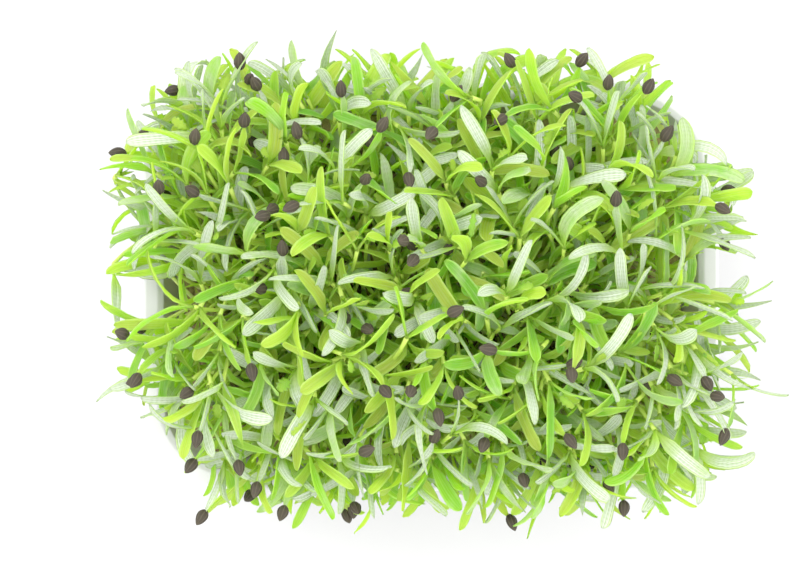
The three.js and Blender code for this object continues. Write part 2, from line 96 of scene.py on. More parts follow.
# The plan of the seedlings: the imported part's own values, and the same draws in the same order.
# A tip is the place of a leaf's end, in millimetres, and where it points, in degrees.
TUFT_COLUMNS = 8
TUFT_ROWS = 6
TUFT_FIELD_LENGTH = 138
TUFT_FIELD_WIDTH = 84
FIELD_CORNER = 14
TUFT_JITTER = 2.2
STEMS_PER_TUFT = 5
MOST_STEMS = 6
FOOT_RING = 3.3
STEM_SPREAD = 1.04
STEM_LEAN = 12
STEM_UPRIGHT = 0.45
STEM_LEANING = 0.3
LEAST_LEAN = 26
MORE_LEAN = 30
LEAN_GROWTH = 1.2
LEAN_RANGE = (-8, 12)
LEAN_SPREAD = 0.6
SPREAD_GROWTH = 0.02
PARTING = 22
END_LEAN = 1.5
PARTING_LEAN = 0.7
CANOPY_TOP = 75
CANOPY_FALL = 17
CANOPY_HALF_LENGTH = 88
CANOPY_HALF_WIDTH = 60
TOP_SHIFT = 4
TOP_RANGE = (-14, 3)
CROWN_TOP = MEDIUM_TOP + 22
LEAF_LENGTH = 22
LEAF_WIDTH = 3.8
LEAF_REACH = 22
SPEAR_SHARE = 0.16
TIP_LEAF = {"open": (16, 26), "droop": (30, 48), "roll": 0.3}
FREE_LEAF = {"open": (10, 28), "droop": (34, 68), "roll": 0.5}
FREE_LENGTH = (0.82, 1.14)
FREE_WIDTH = (0.85, 1.12)
FORK_TURN = 0.9
STEM_SAMPLES = 12
LEAF_SAMPLES = 7
EDGE_SAMPLE = 0.42
CLEARANCE = 2.4
TRIES = 90
SEED = 20634
OUTLINE_CORNER = 34
TIP_OUTLINE = (104, 79)
FREE_OUTLINE = (99, 70)
CUT_BACK = (63, 26)
CUT_ROOM = 200
GAPS = ((-85, -4), (85, 4))
GAP_RADIUS = 7
TIP_SIZE = {"spear": (1.05, 1.05), "strap": (0.9, 0.8)}
TIP_LENGTH = (0.92, 1.08)
TIP_LEAN = (36, 52)
TIP_TURN = 8
TIP_HEIGHT = (9, 17)
NEAR_TUFTS = 3
HUSK_TIPS = [
    (-84.5, 43.5, 62), (-69.5, 27.2, 150), (-79, 28, 96), (-56.3, 65.1, 88), (-51.5, 58.6, 112),
    (-54.3, 47.2, 80), (-40, 22.4, 200), (-15.8, 18.1, 340), (-26.6, 56.6, 95), (-39.2, 44.3, 120),
    (-14.7, 45.7, 70), (-7, 30.6, 265), (-0.4, 43.7, 240), (6.7, 55.7, 60), (13.8, 29.8, 130),
    (19.5, 47.7, 200), (22.7, 65.4, 125), (43.7, 66, 62), (51.4, 59.1, 80), (62.4, 57.4, 45),
    (67.7, 43.7, 70), (52, 24.4, 100), (86.4, 27.8, 10), (85.4, 12.4, 285), (-5.7, 7.3, 200),
]
SPEAR_TIPS = [
    (-28.4, 75.6, 80), (-67, 66.8, 105), (-97, 28, 158), (-92, 41, 155), (-3, 67.6, 66),
    (-14.5, 65, 100), (14.4, 67, 110), (34, 68, 68), (71.5, 51, 8), (79, 36, 80),
    (-99, 4.5, 184), (93, 24, 350), (96, 15, 335), (-75, 56, 125), (-44, 67.5, 84),
    (93, -3, 5), (-92.5, -15, 268), (-93, 15, 100), (-97, -17, 170),
]


class Draws:
    """The seeded draws from 0 to 1 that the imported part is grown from."""

    def __init__(self, seed):
        self.state = seed

    def draw(self):
        self.state = self.state * 48271 % 2147483647
        return self.state / 2147483647

    def between(self, low, high):
        return low + (high - low) * self.draw()


@dataclass
class Leaf:
    out: np.ndarray
    kind: str
    husk: bool
    length: float
    width: float
    open: float
    droop: float
    roll: float


@dataclass
class Seedling:
    foot: np.ndarray
    top: np.ndarray
    axis: np.ndarray
    leaves: list = field(default_factory=list)


@dataclass
class Tuft:
    x: float
    y: float
    turn: float
    seedlings: list = field(default_factory=list)


def vector(x, y, z):
    return np.array([x, y, z], dtype=float)


def unit(v):
    return v / math.sqrt(v @ v)


def columns(*values):
    return np.stack(values, axis=-1)


def ring_angles(count):
    return 2 * math.pi * np.arange(count) / count


def smooth(low, high, x):
    t = np.clip((x - low) / (high - low), 0, 1)
    return t * t * (3 - 2 * t)


# The shape of a seedling
def leaf_point(seedling, leaf, s):
    """The middle line of a leaf, an arc from its open angle to its droop angle, at shares s of its length."""
    s = np.asarray(s, dtype=float)[..., None]
    bend = leaf.droop - leaf.open
    along = (np.sin(leaf.open + bend * s) - math.sin(leaf.open)) / bend
    out = (math.cos(leaf.open) - np.cos(leaf.open + bend * s)) / bend
    return seedling.top + (seedling.axis * (along * leaf.length) + leaf.out * (out * leaf.length))


def leaf_direction(seedling, leaf, s):
    angle = (leaf.open + (leaf.droop - leaf.open) * np.asarray(s, dtype=float))[..., None]
    return seedling.axis * np.cos(angle) + leaf.out * np.sin(angle)


def leaf_across(seedling, leaf, s, roll=None):
    """The way across a leaf, turned about its middle line by its roll."""
    flat = np.cross(seedling.axis, leaf.out)
    up = np.cross(leaf_direction(seedling, leaf, s), flat)
    turned = np.asarray(leaf.roll if roll is None else roll, dtype=float)[..., None]
    return flat * np.cos(turned) + up * np.sin(turned)


def stem_point(seedling, t):
    t = np.asarray(t, dtype=float)[..., None]
    reach = seedling.top[2] - seedling.foot[2]
    p1 = seedling.foot + vector(0, 0, STEM_UPRIGHT * reach)
    p2 = seedling.top - seedling.axis * (STEM_LEANING * reach)
    u = 1 - t
    low, high = seedling.foot * (u * u * u), seedling.top * (t * t * t)
    return low + p1 * (3 * u * u * t) + (p2 * (3 * u * t * t) + high)


def sample_points(seedling):
    """Points close enough together that two seedlings are clear of each other when their points are."""
    points = [stem_point(seedling, np.arange(1, STEM_SAMPLES + 1) / STEM_SAMPLES)]
    for leaf in seedling.leaves:
        s = np.arange(1, LEAF_SAMPLES + 1) / LEAF_SAMPLES
        middle = leaf_point(seedling, leaf, s)
        half = leaf_across(seedling, leaf, s) * (EDGE_SAMPLE * leaf.width)
        points.extend([middle, middle + half, middle - half])
    return np.concatenate(points)


# The shared plan
def tuft_places(draws):
    places = []
    for row in range(TUFT_ROWS):
        count = TUFT_COLUMNS - row % 2
        for column in range(count):
            pitch = TUFT_FIELD_LENGTH / (TUFT_COLUMNS - 1)
            x = (column - (count - 1) / 2) * pitch + draws.between(-TUFT_JITTER, TUFT_JITTER)
            y = (row / (TUFT_ROWS - 1) - 0.5) * TUFT_FIELD_WIDTH + draws.between(-TUFT_JITTER, TUFT_JITTER)
            corner_x = TUFT_FIELD_LENGTH / 2 - FIELD_CORNER
            corner_y = TUFT_FIELD_WIDTH / 2 - FIELD_CORNER
            out_x, out_y = abs(x) - corner_x, abs(y) - corner_y
            out = math.hypot(out_x, out_y)
            if out_x > 0 and out_y > 0 and out > FIELD_CORNER:
                x = math.copysign(corner_x + (out_x * FIELD_CORNER) / out, x)
                y = math.copysign(corner_y + (out_y * FIELD_CORNER) / out, y)
            places.append(Tuft(x, y, draws.between(0, 2 * math.pi)))
    return places


def outness(x, y):
    return max(abs(x) / CANOPY_HALF_LENGTH, abs(y) / CANOPY_HALF_WIDTH)


def canopy_height(x, y):
    return CANOPY_TOP - CANOPY_FALL * outness(x, y) ** 2


def foot_of(tuft, slot):
    angle = tuft.turn + (2 * math.pi * slot) / MOST_STEMS
    return vector(tuft.x + FOOT_RING * math.cos(angle), tuft.y + FOOT_RING * math.sin(angle), MEDIUM_TOP)


def leaf_angles(draws, ranges):
    return {
        "open": math.radians(draws.between(*ranges["open"])),
        "droop": math.radians(draws.between(*ranges["droop"])),
        "roll": draws.between(-ranges["roll"], ranges["roll"]),
    }


def free_leaf(draws, out, kind):
    return Leaf(
        out=out,
        kind=kind,
        husk=False,
        length=LEAF_LENGTH * draws.between(*FREE_LENGTH),
        width=LEAF_WIDTH * draws.between(*FREE_WIDTH),
        **leaf_angles(draws, FREE_LEAF),
    )


def tilted(tilt, towards):
    """The way that a stem's end points: tilted from upright, towards an angle seen from above."""
    return vector(math.sin(tilt) * math.cos(towards), math.sin(tilt) * math.sin(towards), math.cos(tilt))


def level_across(towards):
    return vector(-math.sin(towards), math.cos(towards), 0)


def seedling_to(draws, x, y, points, kind, tuft):
    """A seedling whose first leaf ends at a given place and points a given way, seen from above."""
    side = 1 if draws.draw() < 0.5 else -1
    tilt = math.radians(draws.between(*TIP_LEAN))
    length, width = TIP_SIZE[kind]
    leaf = Leaf(
        out=None,
        kind=kind,
        husk=kind == "strap",
        length=length * LEAF_LENGTH * draws.between(*TIP_LENGTH),
        width=width * LEAF_WIDTH,
        **leaf_angles(draws, TIP_LEAF),
    )
    off = math.atan2(math.sin(leaf.droop), math.cos(leaf.droop) * math.sin(tilt))
    towards = math.radians(points + draws.between(-TIP_TURN, TIP_TURN)) - side * off
    leaf.out = level_across(towards) * side
    seedling = Seedling(foot_of(tuft, len(tuft.seedlings)), vector(0, 0, 0), tilted(tilt, towards))
    end = vector(x, y, canopy_height(x, y) + draws.between(*TIP_HEIGHT))
    seedling.top = end - leaf_point(seedling, leaf, 1)
    seedling.leaves = [leaf, free_leaf(draws, leaf.out * -1, "strap")]
    return seedling


def leaning_seedling(draws, foot, top_range=TOP_RANGE, tries=0):
    """A seedling that leans away from the middle line and over the rim, the more so the further out."""
    x, y = foot[0] * STEM_SPREAD, foot[1] * STEM_SPREAD
    side = math.copysign(1, y + draws.between(-PARTING, PARTING))
    along_x = END_LEAN * (x / CANOPY_HALF_LENGTH) * abs(x / CANOPY_HALF_LENGTH)
    along_y = side * (PARTING_LEAN + abs(y / CANOPY_HALF_WIDTH))
    spread = LEAN_SPREAD + SPREAD_GROWTH * tries
    towards = math.atan2(along_y, along_x) + draws.between(-spread, spread)
    far_out = min(1, outness(x, y)) ** LEAN_GROWTH
    tilt = math.radians(LEAST_LEAN + MORE_LEAN * far_out + draws.between(*LEAN_RANGE))
    axis = tilted(tilt, towards)
    level = level_across(towards)
    turn = draws.between(-FORK_TURN, FORK_TURN)
    out = level * math.cos(turn) + np.cross(axis, level) * math.sin(turn)
    lean = STEM_LEAN * math.sin(tilt)
    top_x = x + lean * math.cos(towards) + draws.between(-TOP_SHIFT, TOP_SHIFT)
    top_y = y + lean * math.sin(towards) + draws.between(-TOP_SHIFT, TOP_SHIFT)
    top = vector(top_x, top_y, canopy_height(top_x, top_y) + draws.between(*top_range))
    seedling = Seedling(foot, top, axis)
    kind = "spear" if draws.draw() < SPEAR_SHARE else "strap"
    seedling.leaves = [free_leaf(draws, out, kind), free_leaf(draws, out * -1, "strap")]
    return seedling


def in_gap(points, radius=GAP_RADIUS):
    """True if any point is in one of the two thin places at the stand's ends, seen from above."""
    return any(np.any(np.hypot(points[:, 0] - x, points[:, 1] - y) < radius) for x, y in GAPS)


def beyond(points, half_size, corner=OUTLINE_CORNER):
    """For each point, whether it is outside a rectangle with rounded corners, seen from above."""
    over = np.abs(points[:, :2]) - (np.array(half_size) - corner)
    return np.hypot(*np.maximum(over, 0).T) > corner


def cut_back(points, room=CUT_ROOM):
    """True if any point is in one of the two corners that the stand leaves empty."""
    past = np.maximum(np.abs(points[:, :2]) - CUT_BACK, 0)
    return bool(np.any((points[:, 0] * points[:, 1] > 0) & (past[:, 0] * past[:, 1] > room)))


def barred_tip(points):
    return in_gap(points) or bool(np.any(beyond(points, TIP_OUTLINE)))


def barred(points):
    return in_gap(points) or cut_back(points) or bool(np.any(beyond(points, FREE_OUTLINE)))


class Planted:
    """The sample points of every seedling planted so far."""

    def __init__(self):
        self.points = np.zeros((0, 3))
        self.tufts = np.zeros(0, dtype=int)

    def is_clear(self, points, tuft):
        low = points.min(axis=0) - CLEARANCE
        high = points.max(axis=0) + CLEARANCE
        close = np.all((self.points >= low) & (self.points <= high), axis=1)
        others = self.points[close]
        if not len(others):
            return True
        gaps = ((points[:, None, :] - others[None, :, :]) ** 2).sum(axis=2)
        same = self.tufts[close] == tuft
        low_down = (points[:, None, 2] < CROWN_TOP) & ((others[:, 2] < CROWN_TOP) & same)[None, :]
        return bool(np.all(low_down | (gaps > CLEARANCE**2)))

    def add(self, points, tuft):
        self.points = np.concatenate([self.points, points])
        self.tufts = np.concatenate([self.tufts, np.full(len(points), tuft)])


def tufts_near(tufts, x, y):
    def far(tuft):
        return (tuft.x * STEM_SPREAD - x) ** 2 + (tuft.y * STEM_SPREAD - y) ** 2

    return sorted((tuft for tuft in tufts if len(tuft.seedlings) < MOST_STEMS - 1), key=far)


def plant_tufts(draws):
    """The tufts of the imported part, each with its seedlings."""
    tufts = tuft_places(draws)
    planted = Planted()

    def plant(tuft, seedling, kept_out):
        points = sample_points(seedling)
        if kept_out(points) or not planted.is_clear(points, id(tuft)):
            return False
        tuft.seedlings.append(seedling)
        planted.add(points, id(tuft))
        return True

    tips = [(*tip, "strap") for tip in HUSK_TIPS] + [(*tip, "spear") for tip in SPEAR_TIPS]
    for at_x, at_y, degrees, kind in tips:
        for side in (1, -1):
            x, y = side * at_x, side * at_y
            points = degrees + (180 if side < 0 else 0)
            angle = math.radians(points)
            near = tufts_near(tufts, x - LEAF_REACH * math.cos(angle), y - LEAF_REACH * math.sin(angle))
            for i in range(TRIES):
                tuft = near[i % NEAR_TUFTS]
                if plant(tuft, seedling_to(draws, x, y, points, kind, tuft), barred_tip):
                    break
    for turn in range(STEMS_PER_TUFT):
        for tuft in tufts:
            if len(tuft.seedlings) > turn:
                continue
            for i in range(TRIES):
                foot = foot_of(tuft, len(tuft.seedlings))
                if plant(tuft, leaning_seedling(draws, foot, tries=i), barred):
                    break
    return tufts


# The seedlings that only the looks have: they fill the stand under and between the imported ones
STAND_HALF_SIZE = np.array([101, 75])
RAGGED = 7
STAND_CORNER = 48
SMALL_CUT_ROOM = 300
STAND_LOW, STAND_HIGH = (np.array(corner) / MM for corner in CAD_BOX)
BOX_ROOM = 1.2
WALL_INSIDE = (78.5, 53.5)
WALL_CORNER = 19
RIM_OUTSIDE = (90.5, 65)
RIM_ROOM = 1.5
FOOT_HALF_SIZE = np.array([73, 48])
FOOT_CORNER = 18
SMALL_GAP = 6
LEAST_BEND = 0.1
CLOSED_SHARE = 0.1
CLOSED_OPEN = 0.4
CLOSED_DROOP = 0.5
CLOSED_HUSK_SHARE = 0.3
EDGE_ON_SHARE = 0.35
EDGE_ON_ROLL = 1.4
CURLED_SHARE = 0.1
CURLED_DROOP = (120, 190)
SMALL_TRIES = 20
CLOSE_STEM = np.linspace(0.1, 1, 40)
CLOSE_LEAF = np.linspace(0.12, 1, 14)
CLOSE_ACROSS = (-1, -0.5, 0, 0.5, 1)
CLOSE_EDGE = 0.45


class Room:
    """Space in the stand, in small cells, so that a new seedling can be kept clear of the others."""

    CELL = 1.2
    REACH = np.array([122, 92, 112])

    def __init__(self):
        self.taken = np.zeros((2 * self.REACH / self.CELL).astype(int) + 3, dtype=bool)

    def cells(self, points):
        return tuple(((points + self.REACH) / self.CELL).astype(int).T)

    def share_taken(self, points):
        return self.taken[self.cells(points)].mean()

    def take(self, points):
        for step in ((0, 0, 0), (1, 0, 0), (-1, 0, 0), (0, 1, 0), (0, -1, 0), (0, 0, 1), (0, 0, -1)):
            self.taken[self.cells(points + np.array(step) * self.CELL)] = True


def close_points(seedling):
    """Points all over a seedling, about a millimetre apart."""
    points = [stem_point(seedling, CLOSE_STEM)]
    for leaf in seedling.leaves:
        middle = leaf_point(seedling, leaf, CLOSE_LEAF)
        half = leaf_across(seedling, leaf, CLOSE_LEAF) * (CLOSE_EDGE * leaf.width)
        points.extend(middle + half * share for share in CLOSE_ACROSS)
    return np.concatenate(points)


def in_tray_wall(points):
    """True if any point is under the medium's top, or lower than the rim and in the tray's wall or rim."""
    low = points[points[:, 2] < TRAY_HEIGHT + RIM_ROOM]
    in_wall = beyond(low, WALL_INSIDE, WALL_CORNER) & ~beyond(low, RIM_OUTSIDE, RIM_CORNER)
    return bool(np.any(in_wall)) or points[:, 2].min() < MEDIUM_TOP


def in_cad_box(points):
    """True if all the points are in the solids' box, with room for a husk."""
    return bool(np.all(points > STAND_LOW + BOX_ROOM) and np.all(points < STAND_HIGH - BOX_ROOM))


def small_seedling(draws, layer):
    """A seedling whose foot is anywhere on the medium; a few are still closed."""
    foot = vector(0, 0, MEDIUM_TOP)
    while True:
        foot[:2] = [draws.between(-half, half) for half in FOOT_HALF_SIZE]
        far_out = max(abs(foot[:2]) / FOOT_HALF_SIZE)
        is_far = far_out > layer.least_out and abs(foot[0]) > layer.least_x
        if is_far and not beyond(foot[None, :], FOOT_HALF_SIZE, FOOT_CORNER)[0]:
            break
    seedling = leaning_seedling(draws, foot, (-layer.bottom, -layer.top))
    closed = draws.draw() < CLOSED_SHARE
    for leaf in seedling.leaves:
        leaf.length *= layer.size
        leaf.width *= layer.size
        if draws.draw() < EDGE_ON_SHARE:
            leaf.roll = draws.between(-EDGE_ON_ROLL, EDGE_ON_ROLL)
        if draws.draw() < CURLED_SHARE:
            leaf.droop = math.radians(draws.between(*CURLED_DROOP))
        if closed:
            leaf.open *= CLOSED_OPEN
            leaf.droop *= CLOSED_DROOP
            leaf.husk = draws.draw() < CLOSED_HUSK_SHARE
        leaf.droop = max(leaf.droop, leaf.open + LEAST_BEND)
    return seedling


@dataclass(frozen=True)
class Layer:
    """How many small seedlings end between two depths under the canopy, and how crowded they may be."""

    count: int
    top: float
    bottom: float
    size: float
    most_taken: float
    least_out: float = 0
    least_x: float = 0


def add_small_seedlings(draws, tufts, layers):
    """Fills the stand, each new seedling going with the tuft that its foot is nearest to."""
    room = Room()
    for tuft in tufts:
        for seedling in tuft.seedlings:
            room.take(close_points(seedling))
    for layer in layers:
        added = 0
        for _ in range(layer.count * SMALL_TRIES):
            seedling = small_seedling(draws, layer)
            points = close_points(seedling)
            half_size = STAND_HALF_SIZE - draws.between(0, RAGGED)
            if np.any(beyond(points, half_size, STAND_CORNER)) or cut_back(points, SMALL_CUT_ROOM):
                continue
            if in_gap(points, SMALL_GAP) or in_tray_wall(points) or not in_cad_box(points):
                continue
            if room.share_taken(points) > layer.most_taken:
                continue
            room.take(points)
            tuft = min(tufts, key=lambda t: (t.x - seedling.foot[0]) ** 2 + (t.y - seedling.foot[1]) ** 2)
            tuft.seedlings.append(seedling)
            added += 1
            if added == layer.count:
                break


# Meshes
class Growth:
    """The points, faces and per-point values of one piece, gathered in millimetres."""

    VALUES = ("along", "across", "tone")

    def __init__(self):
        self.points = []
        self.values = []
        self.faces = []
        self.slots = []
        self.count = 0

    def skin(self, rings, values, slot):
        """A closed skin over rings, an array of stations by points round, and the values at each point."""
        stations, around = rings.shape[:2]
        self.points.append(rings.reshape(-1, 3))
        spread = [np.broadcast_to(value, (stations, around)).ravel() for value in values]
        self.values.append(columns(*spread))
        index = np.arange(stations * around).reshape(stations, around) + self.count
        after = np.roll(index, -1, axis=1)
        quads = columns(index[:-1], after[:-1], after[1:], index[1:]).reshape(-1, 4)
        self.faces.extend(quads.tolist())
        self.faces.append(index[0, ::-1].tolist())
        self.faces.append(index[-1].tolist())
        self.slots.extend([slot] * (len(quads) + 2))
        self.count += stations * around

    def mesh(self, name):
        mesh = bpy.data.meshes.new(name)
        mesh.from_pydata((np.concatenate(self.points) * MM).tolist(), [], self.faces)
        mesh.polygons.foreach_set("material_index", self.slots)
        mesh.polygons.foreach_set("use_smooth", [True] * len(self.faces))
        values = np.concatenate(self.values)
        for column, value in enumerate(self.VALUES):
            layer = mesh.attributes.new(value, "FLOAT", "POINT")
            layer.data.foreach_set("value", values[:, column].astype(np.float32))
        mesh.validate()
        return mesh


def add_piece(name, mesh, materials, nodes):
    """Puts a mesh in the scene as a piece that rides on the tray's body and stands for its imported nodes."""
    piece = bpy.data.objects.new(name, mesh)
    bpy.context.scene.collection.objects.link(piece)
    for material in materials:
        mesh.materials.append(material)
    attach(piece, BODY)
    if nodes:
        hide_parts(*nodes)
    return piece


# Fine shapes of a seedling, in millimetres
STEM_SINK = 3
LEAF_SLOT, STEM_SLOT, HUSK_SLOT = range(3)
FINE_DEPTH = 14  # seedlings that end further than this under the canopy are drawn plainly
# Seedlings deep under the canopy take tones from LOW_TONE up: little of the painted silvery sheen, and more
# lime and straw, lighter colours that paint light into the shade there.
LOW_TONE = 0.56
HUSK_LENGTH = 5.6
HUSK_RADIUS = 1.75
HUSK_AROUND = 18
HUSK_RIBS = 9
HUSK_MIDDLE = 0.42
HUSK_STATIONS = np.array([0, 0.03, 0.1, 0.22, 0.36, 0.5, 0.64, 0.77, 0.88, 0.95, 0.99, 1])
BUD_SHARE = 0.85
TOOTHED_SHARE = 0.6
TOOTHED_STALK = 0.56


@dataclass(frozen=True)
class Detail:
    """How finely a seedling is drawn: where its leaves have rings, and how many points each ring has."""

    leaf_stations: tuple
    leaf_around: int
    stem_stations: int = 0
    stem_around: int = 0


FINE = Detail((0, 0.06, 0.13, 0.21, 0.31, 0.45, 0.6, 0.74, 0.85, 0.92, 0.97, 1), 12, 9, 8)
PLAIN = Detail((0, 0.12, 0.26, 0.44, 0.62, 0.8, 0.93, 1), 8, 7, 6)
BUD = Detail((0, 0.25, 0.5, 0.75, 1), 4)
TOOTHED = Detail((0, 0.15, 0.3, 0.45, 0.56, 0.62, 0.68, 0.74, 0.8, 0.86, 0.91, 0.96, 1), 6)


def leaf_widths(kind, s, taper):
    """Share of a leaf's width at shares s of its length, from its narrow stalk to its tip."""
    stalk = 0.26 + 0.74 * smooth(0.04, 0.36, s)
    if kind == "strap":
        return stalk * (1 - np.clip((s - taper) / (1.004 - taper), 0, 1) ** 2.2) ** 0.55
    if kind == "toothed":
        x = np.clip((s - TOOTHED_STALK) / (1 - TOOTHED_STALK), 0, 1)
        teeth = np.where(np.arange(len(s)) % 2, 1, 0.55)
        return 0.1 + 0.9 * np.sqrt(4 * x * (1 - x)) * teeth
    return stalk * (1 - 0.95 * np.clip((s - 0.28) / 0.72, 0, 1) ** 1.7)


def grow_leaf(growth, rng, seedling, leaf, tone, thickness, detail):
    s = np.array(detail.leaf_stations)
    around = ring_angles(detail.leaf_around)
    v, side = np.cos(around), np.sin(around)
    scale = leaf.length / LEAF_LENGTH
    bow = np.sin(math.pi * s) * scale
    roll = leaf.roll + rng.normal(0, 0.55) * (s - 0.35)
    across = leaf_across(seedling, leaf, s, roll)
    upper = np.cross(leaf_direction(seedling, leaf, s), across)
    middle = leaf_point(seedling, leaf, s)
    middle = middle + across * (rng.normal(0, 1.0) * bow)[:, None]
    middle = middle + upper * (rng.normal(0, 0.7) * bow)[:, None]
    half = 0.5 * leaf.width * leaf_widths(leaf.kind, s, rng.uniform(0.72, 0.86)) * rng.uniform(0.95, 1.15)
    if leaf.husk:
        half = half * (1 - 0.6 * smooth(0.76, 0.9, s))
    fold = rng.uniform(0.1, 0.5) * smooth(0.02, 0.3, s)
    thick = thickness * (2 - smooth(0, 0.3, s)) * (1 - 0.45 * smooth(0.7, 1, s))
    ripple = rng.uniform(0, 0.3) * scale * np.sin(2 * math.pi * (rng.uniform(1.2, 2.4) * s + rng.random()))
    rib = np.where(np.abs(v) < 0.1, 1.0, 0.0)
    cup = 0.55 * np.abs(v) + 0.45 * v**2
    lift = half[:, None] * fold[:, None] * cup + ripple[:, None] * v * smooth(0.2, 0.5, s)[:, None]
    lift = lift + 0.5 * thick[:, None] * side - 0.16 * scale * rib * smooth(0.08, 0.25, s)[:, None]
    rings = middle[:, None] + across[:, None] * (half[:, None] * v)[..., None]
    rings = rings + upper[:, None] * lift[..., None]
    growth.skin(rings, (s[:, None], v, tone), LEAF_SLOT)


def grow_stem(growth, seedling, tone, radius, detail):
    t = np.linspace(0, 1, detail.stem_stations)
    middle = stem_point(seedling, t)
    middle[0, 2] -= STEM_SINK
    tangent = np.gradient(middle, axis=0)
    tangent /= np.linalg.norm(tangent, axis=1)[:, None]
    flat = np.cross(tangent, seedling.leaves[0].out)
    flat /= np.linalg.norm(flat, axis=1)[:, None]
    out = np.cross(flat, tangent)
    around = ring_angles(detail.stem_around)
    width = radius * (1 - 0.2 * t + 0.18 * smooth(0.9, 1, t))
    offset = out[:, None] * np.cos(around)[:, None] + flat[:, None] * np.sin(around)[:, None]
    rings = middle[:, None] + offset * width[:, None, None]
    growth.skin(rings, (t[:, None], np.cos(around), tone), STEM_SLOT)


def grow_husk(growth, rng, seedling, leaf, tone):
    """The empty seed husk on a leaf's tip: a pointed, ribbed oval."""
    x = HUSK_STATIONS
    around = ring_angles(HUSK_AROUND)
    ahead = unit(leaf_direction(seedling, leaf, 1.0) + rng.normal(0, 0.12, 3))
    wide = unit(np.cross(ahead, vector(0.3, 0.2, 1)))
    deep = np.cross(ahead, wide)
    length = HUSK_LENGTH * rng.uniform(0.92, 1.06)
    radius = HUSK_RADIUS * np.sin(math.pi * x**0.82) ** 0.7 * rng.uniform(0.94, 1.04)
    radius[[0, -1]] = 0.12
    ribs = 1 + 0.05 * np.cos(HUSK_RIBS * around)
    middle = leaf_point(seedling, leaf, 1.0) + ahead * ((x - HUSK_MIDDLE) * length)[:, None]
    offset = wide * np.cos(around)[:, None] + deep * (0.84 * np.sin(around))[:, None]
    rings = middle[:, None] + offset * (radius[:, None] * ribs)[..., None]
    growth.skin(rings, (x[:, None], np.cos(HUSK_RIBS * around), tone), HUSK_SLOT)


def grow_true_leaves(growth, rng, seedling, thickness):
    """The first true leaves, between the seed leaves: small blades, and on some a toothed leaf on a stalk."""
    size = rng.uniform(2.5, 7.5)
    side = unit(np.cross(seedling.axis, seedling.leaves[0].out))
    toothed = rng.random() < TOOTHED_SHARE
    for i, turn in enumerate(rng.uniform(0, 2 * math.pi, rng.integers(3, 8))):
        first = toothed and i == 0
        blade = Leaf(
            out=side * math.cos(turn) + seedling.leaves[0].out * math.sin(turn),
            kind="toothed" if first else "spear",
            husk=False,
            length=rng.uniform(8, 16) if first else size * rng.uniform(0.6, 1.1),
            width=rng.uniform(2.4, 4.4) if first else size * rng.uniform(0.1, 0.26),
            open=math.radians(rng.uniform(4, 18)),
            droop=math.radians(rng.uniform(28, 84)),
            roll=rng.uniform(-0.6, 0.6),
        )
        tone = rng.uniform(0.7, 0.86)
        grow_leaf(growth, rng, seedling, blade, tone, 0.5 * thickness, TOOTHED if first else BUD)


def tuft_mesh(name, tuft, rng, settings):
    growth = Growth()
    thickness = settings.leaf_thickness / MM
    for seedling in tuft.seedlings:
        sunk = canopy_height(*seedling.top[:2]) - seedling.top[2]
        is_high = sunk < FINE_DEPTH
        # Deep seedlings mostly skip the silvery tones (painted sheen) and lean to lime and straw, which
        # paints light into the shade.
        tone = rng.uniform(0 if is_high else LOW_TONE, 1)
        detail = FINE if is_high else PLAIN
        radius = settings.stem_radius / MM * rng.uniform(0.88, 1.08)
        grow_stem(growth, seedling, rng.random(), radius, detail)
        for leaf in seedling.leaves:
            leaf_tone = np.clip(tone + rng.normal(0, 0.1), 0, 1)
            grow_leaf(growth, rng, seedling, leaf, leaf_tone, thickness, detail)
            if leaf.husk:
                grow_husk(growth, rng, seedling, leaf, rng.random())
        if is_high and rng.random() < BUD_SHARE:
            grow_true_leaves(growth, rng, seedling, thickness)
    return growth.mesh(name)


# Shaders
def math_method(operation):
    def method(value, *others):
        sockets = dict(enumerate((value, *others)))
        return value.shader.node("Math", {"operation": operation}, sockets)

    return method


class Value:
    """A socket of a shader, on which Python's operators add Math nodes."""

    def __init__(self, shader, socket):
        self.shader = shader
        self.socket = socket

    __add__ = __radd__ = math_method("ADD")
    __sub__ = math_method("SUBTRACT")
    __mul__ = __rmul__ = math_method("MULTIPLY")
    __pow__ = math_method("POWER")
    __abs__ = math_method("ABSOLUTE")
    sin = math_method("SINE")

    def __rsub__(self, other):
        return self.shader.node("Math", {"operation": "SUBTRACT"}, {0: other, 1: self})

    def between(self, low, high):
        """0 up to low, 1 from high on and a straight line in between; low may be the larger one."""
        sockets = {"Value": self, "From Min": low, "From Max": high}
        return self.shader.node("MapRange", {"clamp": True}, sockets)


